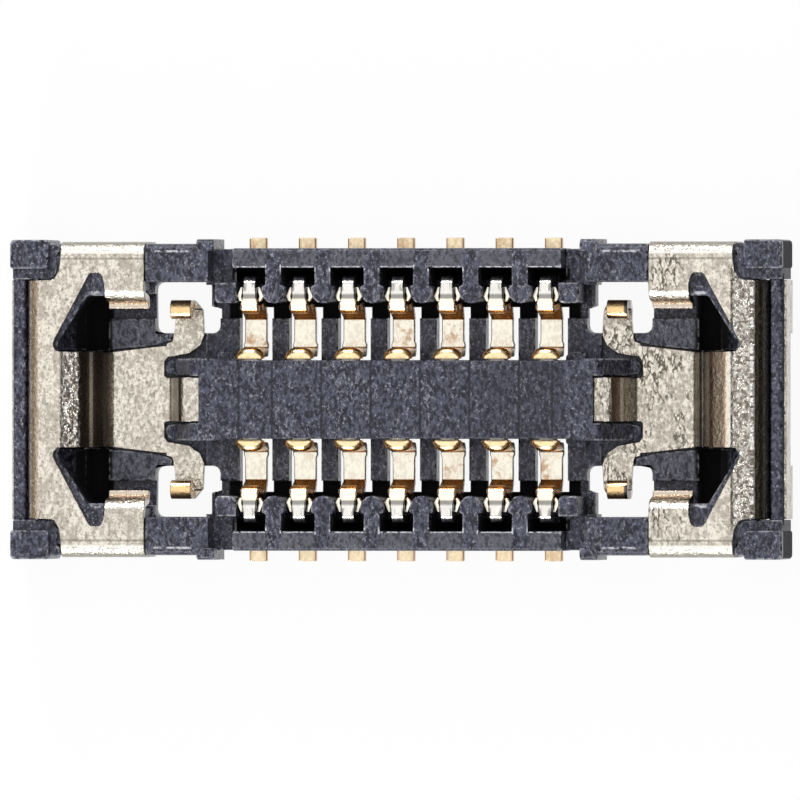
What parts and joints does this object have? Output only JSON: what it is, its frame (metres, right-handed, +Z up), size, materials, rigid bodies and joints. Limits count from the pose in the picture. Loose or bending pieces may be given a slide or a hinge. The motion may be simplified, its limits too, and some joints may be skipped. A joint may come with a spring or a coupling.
{
  "type": "board-to-board receptacle connector",
  "caption": "Low-profile board-to-board and FPC receptacle: black moulded housing, two rows of folded gold-plated spring contacts, and a drawn metal shell at each end.",
  "frame": {"origin": "centre of the solder plane, under the middle of the island", "axes": "+X along the contact rows, +Y across them towards row a, +Z up from the circuit board towards the mating face"},
  "size_m": [0.0054, 0.0022, 0.0006],
  "materials": {
    "housing": "satin, glass-filled",
    "contact": "gold plated over nickel",
    "shell": "nickel plated, rolled grain"
  },
  "bodies": {
    "root": {"housing": "housing", "contact_a1": "contact", "contact_a2": "contact", "contact_a3": "contact", "contact_a4": "contact", "contact_a5": "contact", "contact_a6": "contact", "contact_a7": "contact", "contact_b1": "contact", "contact_b2": "contact", "contact_b3": "contact", "contact_b4": "contact", "contact_b5": "contact", "contact_b6": "contact", "contact_b7": "contact", "end_shell_left": "shell", "end_shell_right": "shell"}
  },
  "joints": []
}
